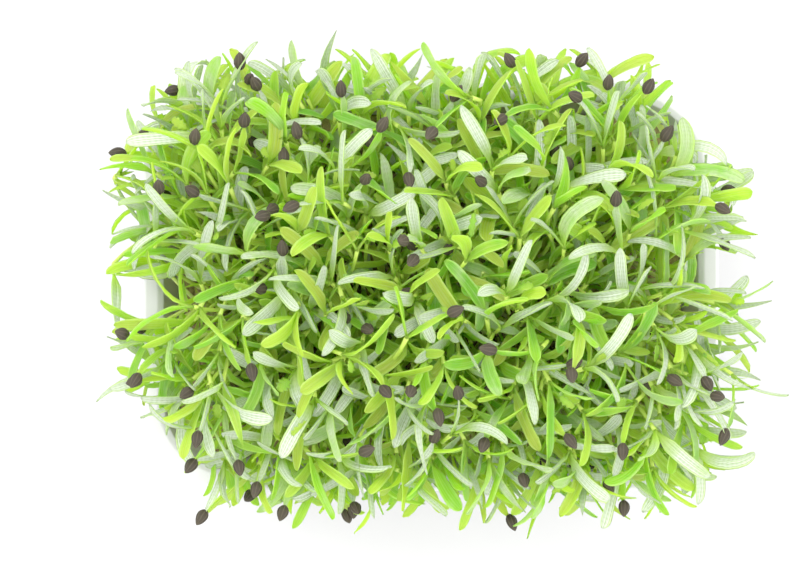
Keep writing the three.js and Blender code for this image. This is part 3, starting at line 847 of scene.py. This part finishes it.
class Shader:
    """The nodes of one material."""

    def __init__(self, name):
        self.material = bpy.data.materials.new(name)
        self.material.use_nodes = True
        self.tree = self.material.node_tree
        self.tree.nodes.clear()

    def node(self, kind, settings=None, sockets=None, output=0):
        """Adds a node of a kind, with its settings made first and then its sockets, and returns an output."""
        made = self.tree.nodes.new("ShaderNode" + kind)
        for name, value in (settings or {}).items():
            if name == "stops":
                self.set_stops(made.color_ramp, value)
            else:
                setattr(made, name, value)
        for name, value in (sockets or {}).items():
            socket = made.inputs[name] if isinstance(name, int) else self.socket_of(made, name)
            if isinstance(value, Value):
                self.tree.links.new(value.socket, socket)
            else:
                socket.default_value = value
        if not made.outputs:
            return made
        return Value(self, made.outputs[output])

    @staticmethod
    def socket_of(node, name):
        return next(socket for socket in node.inputs if name in (socket.identifier, socket.name))

    @staticmethod
    def set_stops(ramp, stops):
        while len(ramp.elements) < len(stops):
            ramp.elements.new(1)
        for element, (position, color) in zip(ramp.elements, stops):
            element.position = position
            element.color = (*color, 1)

    def attribute(self, name):
        return self.node("Attribute", {"attribute_name": name, "attribute_type": "GEOMETRY"}, output=2)

    def place(self):
        """The mesh's own coordinates, in metres."""
        return self.node("TexCoord", output=3)

    def noise(self, scale, detail=3, roughness=0.55):
        sockets = {"Vector": self.place(), "Scale": scale, "Detail": detail, "Roughness": roughness}
        return self.node("TexNoise", sockets=sockets)

    def ramp(self, value, stops):
        return self.node("ValToRGB", {"stops": stops}, {"Fac": value})

    def mix(self, factor, a, b):
        a, b = (color if isinstance(color, Value) else (*color, 1) for color in (a, b))
        sockets = {"Factor_Float": factor, "A_Color": a, "B_Color": b}
        return self.node("Mix", {"data_type": "RGBA"}, sockets, output=2)

    def bump(self, height, distance, strength):
        return self.node("Bump", sockets={"Height": height, "Distance": distance, "Strength": strength})

    def principled(self, color, roughness, normal, specular=0.5):
        sockets = {"Base Color": color, "Roughness": roughness, "Specular IOR Level": specular}
        return self.node("BsdfPrincipled", sockets={**sockets, "Normal": normal})

    def surface(self, shader, through_color=None, through_share=0):
        """Ends the material, with a share of the light passing through it if that has a colour."""
        if through_color is not None:
            through = self.node("BsdfTranslucent", sockets={"Color": (*through_color, 1)})
            shader = self.node("MixShader", sockets={0: through_share, 1: shader, 2: through})
        self.node("OutputMaterial", sockets={"Surface": shader})
        return self.material


# Finishes
def leaf_material(settings):
    """Seed leaves: lengthwise veins, a pale midrib, pale edges that are a painted highlight, a silvery cast
    that is partly the leaves' own colour and partly painted sheen, and light that comes through.
    """
    shader = Shader("seed_leaf")
    along, across, tone = (shader.attribute(name) for name in Growth.VALUES)
    grain = shader.noise(900, 2)
    blotch = shader.noise(150, 3)
    vein = (1 - abs((across * 9 + grain * 0.9).sin())) ** 2
    streak = (across * 26 + grain * 5).sin() + (along * 95 + grain * 4).sin() * 0.35
    midrib = (1 - abs(across) * 6).between(0, 1) * along.between(1, 0.4)
    # The band along each leaf's margins, where a painted highlight goes.
    edge = abs(across).between(0.66, 0.98)
    shade = tone + (blotch - 0.5) * 0.36
    greens = (settings.green_color, settings.deep_color, settings.lime_color, settings.straw_color)
    color = shader.ramp(shade, tuple(zip((0.5, 0.66, 0.8, 0.97), greens)))
    # Paler veins and midrib are the leaf's own colour; the pale band along the edges is a painted highlight.
    pale = (vein * 0.6 + midrib * 0.4 + edge * 0.6).between(0, 1)
    color = shader.mix(pale, color, settings.vein_and_edge_highlight_color)
    color = shader.mix(streak.between(0.1, 1.3) * 0.3, color, settings.deep_color)
    # Silvery cast: partly a pale colour of some leaves, partly painted sheen of the light off them; less at
    # the foot and the edges, and such leaves let less light through.
    bloom_and_sheen = shade.between(0.64, 0.44) * (1 - edge * 0.75) * along.between(0.1, 0.5)
    lines = (vein * 0.7 + streak * 0.4 + 0.08).between(0, 1)
    silver_and_sheen = shader.mix(lines, settings.silver_bloom_and_sheen_color, settings.silver_vein_color)
    color = shader.mix(bloom_and_sheen * 0.94, color, silver_and_sheen)
    color = shader.mix(along.between(0.36, 0.02) * 0.75, color, settings.stalk_color)
    height = vein * -0.6 + midrib * 0.6 + streak * 0.12 + grain * 0.4
    roughness = 0.26 + blotch * 0.2 + vein * 0.12
    front = shader.principled(color, roughness, shader.bump(height, 0.00025, 1), 0.3)
    return shader.surface(front, settings.through_color, (1 - bloom_and_sheen * 0.55) * settings.through_share)


def stem_material(settings):
    """Stems: pale at the foot, yellow-green higher up, and faintly ribbed."""
    shader = Shader("stem")
    along, across, tone = (shader.attribute(name) for name in Growth.VALUES)
    grain = shader.noise(500, 2)
    pale = settings.foot_color
    stops = ((0, pale), (0.32, pale), (0.62, settings.stalk_color), (1, settings.stem_color))
    color = shader.ramp(along + (grain - 0.5) * 0.3 + (tone - 0.5) * 0.3, stops)
    normal = shader.bump(grain + (across * 9).sin() * 0.3, 0.0001, 0.6)
    front = shader.principled(color, 0.32 + grain * 0.2, normal)
    return shader.surface(front, settings.through_color, settings.stem_through_share)


def husk_material(settings):
    """Seed husks: dry, grey-brown, with paler ribs."""
    shader = Shader("seed_husk")
    along, across, tone = (shader.attribute(name) for name in Growth.VALUES)
    grain = shader.noise(1300, 4)
    rib = across.between(0.1, 1) * (0.3 + grain)
    collar = along.between(0.16, 0.04) * 0.7 + along.between(0.8, 1) * 0.3
    pale = (rib * 0.6 + collar + tone * 0.15).between(0, 1)
    color = shader.mix(pale, settings.husk_color, settings.husk_rib_color)
    normal = shader.bump(grain + rib, 0.0002, 0.7)
    return shader.surface(shader.principled(color, 0.5 + grain * 0.3, normal, 0.15))


def plastic_material(settings):
    """The tray's white plastic: satin, with a fine moulded grain and faint scuffs low down."""
    shader = Shader("white_plastic")
    cloud = shader.noise(18, 4)
    height = shader.node("SeparateXYZ", sockets={0: shader.place()}, output=2)
    scuff = height.between(0.012, 0) * shader.noise(260, 6, 0.7).between(0.5, 0.7)
    worn = [0.8 * share for share in settings.plastic_color]
    color = shader.mix((cloud * 0.16 + scuff * 0.5).between(0, 1), settings.plastic_color, worn)
    normal = shader.bump(shader.noise(1500, 2), 0.00004, 0.5)
    return shader.surface(shader.principled(color, 0.3 + cloud * 0.14 + scuff * 0.3, normal))


def coir_material(name, dark, pale, scale):
    """Moist coir: dark crumbs and paler fibres."""
    shader = Shader(name)
    clumps = shader.noise(scale, 6, 0.68)
    sockets = {"Vector": shader.place(), "Scale": 3 * scale, "Detail": 3, "Distortion": 2.4}
    strands = shader.node("TexNoise", sockets=sockets)
    dry = (clumps * 0.8 + strands.between(0.5, 0.8) * 0.5).between(0.25, 0.95)
    normal = shader.bump(clumps + strands * 0.5, 0.0008, 0.9)
    return shader.surface(shader.principled(shader.mix(dry, dark, pale), 0.7 + clumps * 0.3, normal))


def floor_material(color):
    shader = Shader("floor")
    sockets = {"Base Color": (*color, 1), "Roughness": 0.8}
    return shader.surface(shader.node("BsdfPrincipled", sockets=sockets))


# Fine shapes of the tray and the medium
FLOOR_SIZE = 3
COIR_SLOT, FIBRE_SLOT = range(2)
TOP_RINGS = 60
CRUMB_AROUND = 6
CRUMB_SIZE = (0.5, 1.7)
CRUMB_RINGS = ((-0.6, 0.45), (-0.1, 1), (0.4, 0.8), (0.75, 0.25))
FIBRE_AROUND = 4
FIBRE_LENGTH = (4, 13)
FIBRE_RADIUS = (0.06, 0.14)
FIBRE_STEPS = 6
LOOSE_INSET = 3
BEVEL_SEGMENTS = 3
BEVEL_ANGLE = 28

# The lights' names, places and sizes
LIGHTS = (
    ("key_light", (-0.45, 0.5, 0.95), 0.7),
    ("fill_light", (0.7, -0.25, 0.8), 0.6),
)


def rounded_ring(half_length, half_width, corner, z, steps):
    quarter = np.linspace(0, math.pi / 2, steps + 1)
    ring = []
    for turn, (side_x, side_y) in enumerate(((1, 1), (-1, 1), (-1, -1), (1, -1))):
        angle = quarter + turn * math.pi / 2
        x = side_x * (half_length - corner) + corner * np.cos(angle)
        y = side_y * (half_width - corner) + corner * np.sin(angle)
        ring.append(columns(x, y, np.full_like(x, z)))
    return np.concatenate(ring)


def wall_ring(z, inset, steps):
    share = z / TRAY_HEIGHT

    def at(low, high):
        return low + (high - low) * share

    half_length = at(BASE_LENGTH, RIM_LENGTH - 2 * RIM_FLANGE) / 2 - inset
    half_width = at(BASE_WIDTH, RIM_WIDTH - 2 * RIM_FLANGE) / 2 - inset
    return rounded_ring(half_length, half_width, at(BASE_CORNER, RIM_CORNER - RIM_FLANGE) - inset, z, steps)


def rim_ring(z, inset, steps):
    return rounded_ring(RIM_LENGTH / 2 - inset, RIM_WIDTH / 2 - inset, RIM_CORNER - inset, z, steps)


def tray_rings(steps):
    """The shell's section, from the middle of the underside, over the rim, to the middle of the floor."""
    top = TRAY_HEIGHT
    rings = [
        wall_ring(0, 1.6, steps),
        wall_ring(0.7, 0.5, steps),
        wall_ring(2.4, 0, steps),
        wall_ring(top - WALL - 1, 0, steps),
        rim_ring(top - WALL, RIM_FLANGE - 0.8, steps),
        rim_ring(top - WALL, WALL + 0.6, steps),
        rim_ring(top - RIM_LIP, WALL, steps),
        rim_ring(top - RIM_LIP, 0, steps),
        rim_ring(top - 0.8, 0, steps),
        rim_ring(top, 0.8, steps),
        rim_ring(top, RIM_FLANGE - 0.4, steps),
        wall_ring(top - 1, WALL, steps),
        wall_ring(3.2, WALL, steps),
        wall_ring(WALL, WALL + 1.2, steps),
    ]
    return np.stack(rings)


def bumpy(x, y, scale, rng):
    """Smooth uneven height between about -1 and 1 at each place, the sum of a few dozen random waves."""
    total = np.zeros_like(x)
    waves = 36
    for _ in range(waves):
        way, phase = rng.uniform(0, 2 * math.pi, 2)
        turns = rng.uniform(0.5, 2) / scale
        total += np.sin(2 * math.pi * turns * (x * math.cos(way) + y * math.sin(way)) + phase)
    return total / math.sqrt(waves)


def medium_rings(steps, rng):
    """The block's side, up to its uneven top edge, and then rings that shrink to its middle."""
    side = WALL + MEDIUM_GAP
    rings = [
        wall_ring(side, side + 1.3, steps),
        wall_ring(side + 3, side, steps),
        wall_ring(MEDIUM_TOP - 1, side, steps),
    ]
    edge = wall_ring(MEDIUM_TOP, side + 1, steps)
    for share in np.linspace(1, 0.02, TOP_RINGS):
        rings.append(edge * np.array([share, share, 1]))
    rings = np.stack(rings)
    lift = bumpy(rings[3:, :, 0], rings[3:, :, 1], 14, rng) * 0.45
    lift += bumpy(rings[3:, :, 0], rings[3:, :, 1], 3.5, rng) * 0.3
    rings[3:, :, 2] += lift
    return rings


def crumb(growth, rng, x, y):
    """A small lump of coir."""
    size = rng.uniform(*CRUMB_SIZE)
    around = ring_angles(CRUMB_AROUND)
    rings = []
    for level, width in CRUMB_RINGS:
        reach = size * width * rng.uniform(0.7, 1.2, CRUMB_AROUND)
        level = np.full(CRUMB_AROUND, level * size)
        rings.append(columns(x + reach * np.cos(around), y + reach * np.sin(around), level))
    rings = np.stack(rings)
    rings[..., 2] += MEDIUM_TOP + 0.1
    if np.any(beyond(rings.reshape(-1, 3), WALL_INSIDE, WALL_CORNER)):
        return
    growth.skin(rings, (0.5, 0.5, rng.random()), COIR_SLOT)


def fibre(growth, rng, x, y):
    """A curved thread of coir that lies on the medium."""
    t = np.linspace(-0.5, 0.5, FIBRE_STEPS + 1)
    way, bend = rng.uniform(0, 2 * math.pi), rng.normal(0, 0.9)
    length = rng.uniform(*FIBRE_LENGTH)
    angle = way + bend * t * 2
    rise = rng.uniform(0, 0.12) * np.sin(t * 6)
    step = columns(np.cos(angle), np.sin(angle), rise) * length / FIBRE_STEPS
    middle = np.cumsum(step, axis=0) + np.array([x, y, MEDIUM_TOP + rng.uniform(0.4, 1.1)])
    middle[[0, -1], 2] -= 0.8
    if np.any(beyond(middle, WALL_INSIDE, WALL_CORNER)):
        return
    around = ring_angles(FIBRE_AROUND)
    flat = columns(-np.sin(angle), np.cos(angle), np.zeros_like(angle))
    radius = rng.uniform(*FIBRE_RADIUS)
    offset = flat[:, None] * np.cos(around)[:, None] + vector(0, 0, 1) * np.sin(around)[:, None]
    growth.skin(middle[:, None] + offset * radius, (0.5, 0.5, rng.random()), FIBRE_SLOT)


# Settings that a user would change
def setting(kind, **limits):
    """A maker of like settings, each from its name, its description and its default."""
    return lambda name, description, default: kind(
        name=name, description=description, default=default, **limits
    )


color_setting = setting(FloatVectorProperty, size=3, min=0, max=1, subtype="COLOR")
length_setting = setting(FloatProperty, min=0, unit="LENGTH")
place_setting = setting(FloatProperty, unit="LENGTH")
power_setting = setting(FloatProperty, min=0, unit="POWER")
share_setting = setting(FloatProperty, min=0, max=1, subtype="FACTOR")
amount_setting = setting(FloatProperty, min=0)
lens_setting = setting(FloatProperty, min=1, unit="CAMERA")
count_setting = setting(IntProperty, min=0)
steps_setting = setting(IntProperty, min=3)


class TraySettings(bpy.types.PropertyGroup):
    corner_steps: steps_setting("Corner steps", "Faces along each rounded corner of the tray", 14)
    edge_radius: length_setting("Edge radius", "Rounding of the shell's edges", 0.00045)
    plastic_color: color_setting("Plastic", "Colour of the tray's plastic", (0.52, 0.52, 0.515))


class MediumSettings(bpy.types.PropertyGroup):
    crumbs: count_setting("Crumbs", "Loose crumbs on the medium", 900)
    fibres: count_setting("Fibres", "Loose fibres on the medium", 420)
    dark_color: color_setting("Dark coir", "Colour of the moist crumbs", (0.2, 0.16, 0.045))
    pale_color: color_setting("Pale coir", "Colour of the drier crumbs", (0.46, 0.36, 0.12))
    fibre_color: color_setting("Fibre colour", "Colour of the fibres", (0.34, 0.2, 0.1))


class SeedlingSettings(bpy.types.PropertyGroup):
    upper_count: count_setting("Upper seedlings", "Seedlings between those of the packed solids", 330)
    end_count: count_setting("End seedlings", "Seedlings at the stand's two ends", 150)
    edge_count: count_setting("Edge seedlings", "Seedlings at the stand's edge, leaning over the rim", 260)
    middle_count: count_setting("Middle seedlings", "Smaller seedlings under the canopy", 480)
    lower_count: count_setting("Lower seedlings", "The smallest seedlings, near the medium", 620)
    leaf_thickness: length_setting("Leaf thickness", "Thickness of a leaf's blade", 0.00042)
    stem_radius: length_setting("Stem radius", "Radius of a stem at its foot", 0.0007)
    # The silvery leaf colour, which also paints the sheen of the light off the leaves.
    silver_bloom_and_sheen_color: color_setting("Silvery leaf", "Colour of the leaves with most bloom", (0.62, 0.66, 0.57))
    silver_vein_color: color_setting("Silvery vein", "Colour of a silvery leaf's veins", (0.19, 0.29, 0.11))
    green_color: color_setting("Green leaf", "Colour of a common leaf", (0.36, 0.47, 0.06))
    deep_color: color_setting("Deep leaf", "Colour of the greenest leaves", (0.09, 0.42, 0.004))
    lime_color: color_setting("Lime leaf", "Colour of the youngest leaves", (0.55, 0.68, 0.06))
    straw_color: color_setting("Straw leaf", "Colour of the leaves that turn yellow", (0.54, 0.5, 0.05))
    # The veins' own paler colour, also used for the painted highlight along the leaf edges.
    vein_and_edge_highlight_color: color_setting("Veins", "Colour of veins and edges", (0.72, 0.78, 0.34))
    stalk_color: color_setting("Leaf stalk", "Colour of a leaf's narrow foot", (0.55, 0.68, 0.11))
    stem_color: color_setting("Stem", "Colour of a stem's upper part", (0.5, 0.68, 0.07))
    foot_color: color_setting("Stem foot", "Colour of a stem's foot", (0.7, 0.64, 0.34))
    through_color: color_setting("Light through", "Colour of the light through a leaf", (0.6, 0.88, 0.07))
    through_share: share_setting("Share through", "Share of the light that passes a leaf", 0.68)
    stem_through_share: share_setting("Share through stems", "Share of the light that passes a stem", 0.25)
    husk_color: color_setting("Husk", "Colour of the seed husks", (0.02, 0.0155, 0.009))
    husk_rib_color: color_setting("Husk ribs", "Colour of the husks' ribs", (0.07, 0.056, 0.034))


class StageSettings(bpy.types.PropertyGroup):
    view_height: length_setting("View height", "Height of the camera over the floor", 0.634)
    lens: lens_setting("Lens", "Focal length of the camera", 87)
    view_x: place_setting("View X", "Place of the picture's middle", -0.0097)
    view_y: place_setting("View Y", "Place of the picture's middle", 0.0003)
    floor_color: color_setting("Floor", "Colour of the floor", (0.47, 0.47, 0.47))
    sky_strength: amount_setting("Sky", "Strength of the even light", 2.25)
    gamma: amount_setting("Gamma", "How much the shadows are lifted", 1.3)
    key_power: power_setting("Key light", "Power of the large light", 9)
    fill_power: power_setting("Fill light", "Power of the second light", 5)


# Operators, one to a piece or a group of like pieces
class MICROGREENS_OT_tray(bpy.types.Operator):
    """Add the tray: a tapered plastic shell with a rounded rim and a turned-down lip"""

    bl_idname = "microgreens.tray"
    bl_label = "Tray"

    def execute(self, context):
        settings = context.scene.microgreens_tray
        growth = Growth()
        growth.skin(tray_rings(settings.corner_steps), (0, 0, 0), 0)
        mesh = growth.mesh("tray_shell")
        tray = add_piece("tray_shell", mesh, [plastic_material(settings)], ["tray"])
        bevel = tray.modifiers.new("rounded edges", "BEVEL")
        bevel.width = settings.edge_radius
        bevel.segments = BEVEL_SEGMENTS
        bevel.limit_method = "ANGLE"
        bevel.angle_limit = math.radians(BEVEL_ANGLE)
        tray.modifiers.new("even shading", "WEIGHTED_NORMAL")
        return {"FINISHED"}


class MICROGREENS_OT_medium(bpy.types.Operator):
    """Add the growing medium: a block of coir with an uneven top, loose crumbs and fibres"""

    bl_idname = "microgreens.medium"
    bl_label = "Growing medium"

    def execute(self, context):
        settings = context.scene.microgreens_medium
        steps = context.scene.microgreens_tray.corner_steps
        rng = np.random.default_rng(SEED + 1)
        coir = coir_material("coir", settings.dark_color, settings.pale_color, 260)
        fibres = coir_material("coir_fibre", settings.pale_color, settings.fibre_color, 500)
        block = Growth()
        block.skin(medium_rings(steps, rng), (0, 0, 0), 0)
        add_piece("coir_block", block.mesh("coir_block"), [coir], ["growing_medium"])
        loose = Growth()
        half = (MEDIUM_HIGH - MEDIUM_LOW)[:2] / 2 - LOOSE_INSET
        for count, lay in ((settings.crumbs, crumb), (settings.fibres, fibre)):
            for x, y in rng.uniform(-1, 1, (count, 2)) * half:
                lay(loose, rng, x, y)
        add_piece("loose_coir", loose.mesh("loose_coir"), [coir, fibres], [])
        return {"FINISHED"}


class MICROGREENS_OT_seedlings(bpy.types.Operator):
    """Add the seedlings, one piece to a tuft: stems, seed leaves, buds and the husks on some leaf tips"""

    bl_idname = "microgreens.seedlings"
    bl_label = "Seedlings"

    def execute(self, context):
        settings = context.scene.microgreens_seedlings
        tufts = plant_tufts(Draws(SEED))
        if len(tufts) != len(TUFT_NODES):
            raise RuntimeError(f"the plan has {len(tufts)} tufts and the packed part {len(TUFT_NODES)}")
        rng = np.random.default_rng(SEED)
        layers = (
            Layer(settings.end_count, -4, 16, size=1, most_taken=0.2, least_out=0.8, least_x=60),
            Layer(settings.edge_count, 0, 26, size=0.96, most_taken=0.22, least_out=0.78),
            Layer(settings.upper_count, -2, 14, size=0.96, most_taken=0.1),
            Layer(settings.middle_count, 10, 26, size=0.9, most_taken=0.24),
            Layer(settings.lower_count, 24, 42, size=0.85, most_taken=0.4),
        )
        add_small_seedlings(Draws(SEED + 1), tufts, layers)
        materials = [leaf_material(settings), stem_material(settings), husk_material(settings)]
        for node, tuft in zip(TUFT_NODES, tufts):
            name = node.replace("tuft", "seedlings")
            add_piece(name, tuft_mesh(name, tuft, rng, settings), materials, [node])
        return {"FINISHED"}


class MICROGREENS_OT_stage(bpy.types.Operator):
    """Add the pale floor, the soft lights and the camera that looks straight down"""

    bl_idname = "microgreens.stage"
    bl_label = "Stage"

    def execute(self, context):
        settings = context.scene.microgreens_stage
        self.add_floor(context, settings)
        self.add_lights(context, settings)
        self.add_camera(context, settings)
        context.scene.view_settings.view_transform = "Standard"
        context.scene.view_settings.gamma = settings.gamma
        return {"FINISHED"}

    def add_floor(self, context, settings):
        mesh = bpy.data.meshes.new("floor")
        corners = [(x * FLOOR_SIZE, y * FLOOR_SIZE, 0) for x, y in ((-1, -1), (1, -1), (1, 1), (-1, 1))]
        mesh.from_pydata(corners, [], [(0, 1, 2, 3)])
        mesh.materials.append(floor_material(settings.floor_color))
        floor = bpy.data.objects.new("floor", mesh)
        context.scene.collection.objects.link(floor)

    def add_lights(self, context, settings):
        world = bpy.data.worlds.new("even light")
        world.use_nodes = True
        background = world.node_tree.nodes["Background"]
        background.inputs["Color"].default_value = (1, 1, 1, 1)
        background.inputs["Strength"].default_value = settings.sky_strength
        context.scene.world = world
        powers = (settings.key_power, settings.fill_power)
        for (name, place, size), power in zip(LIGHTS, powers):
            light = bpy.data.lights.new(name, "AREA")
            light.shape = "DISK"
            light.size = size
            light.energy = power
            lamp = bpy.data.objects.new(name, light)
            lamp.location = place
            lamp.rotation_euler = Vector(place).to_track_quat("Z", "Y").to_euler()
            context.scene.collection.objects.link(lamp)

    def add_camera(self, context, settings):
        data = bpy.data.cameras.new("camera")
        data.lens = settings.lens
        camera = bpy.data.objects.new("camera", data)
        camera.location = (settings.view_x, settings.view_y, settings.view_height)
        context.scene.collection.objects.link(camera)
        context.scene.camera = camera


SETTINGS = {
    "microgreens_tray": TraySettings,
    "microgreens_medium": MediumSettings,
    "microgreens_seedlings": SeedlingSettings,
    "microgreens_stage": StageSettings,
}
OPERATORS = (
    MICROGREENS_OT_tray,
    MICROGREENS_OT_medium,
    MICROGREENS_OT_seedlings,
    MICROGREENS_OT_stage,
)


class MICROGREENS_PT_panel(bpy.types.Panel):
    """The operators and their settings"""

    bl_label = "Microgreens Tray"
    bl_idname = "MICROGREENS_PT_panel"
    bl_space_type = "VIEW_3D"
    bl_region_type = "UI"
    bl_category = "Microgreens"

    def draw(self, context):
        for name, operator in zip(SETTINGS, OPERATORS):
            box = self.layout.box()
            box.operator(operator.bl_idname)
            settings = getattr(context.scene, name)
            for setting in SETTINGS[name].__annotations__:
                box.prop(settings, setting)


def register():
    for cls in (*SETTINGS.values(), *OPERATORS, MICROGREENS_PT_panel):
        bpy.utils.register_class(cls)
    for name, settings in SETTINGS.items():
        setattr(bpy.types.Scene, name, PointerProperty(type=settings))


def unregister():
    for name in SETTINGS:
        delattr(bpy.types.Scene, name)
    for cls in (MICROGREENS_PT_panel, *reversed(OPERATORS), *reversed(SETTINGS.values())):
        bpy.utils.unregister_class(cls)


def main():
    register()
    bpy.ops.microgreens.tray()
    bpy.ops.microgreens.medium()
    bpy.ops.microgreens.seedlings()
    bpy.ops.microgreens.stage()


if __name__ == "__main__":
    main()
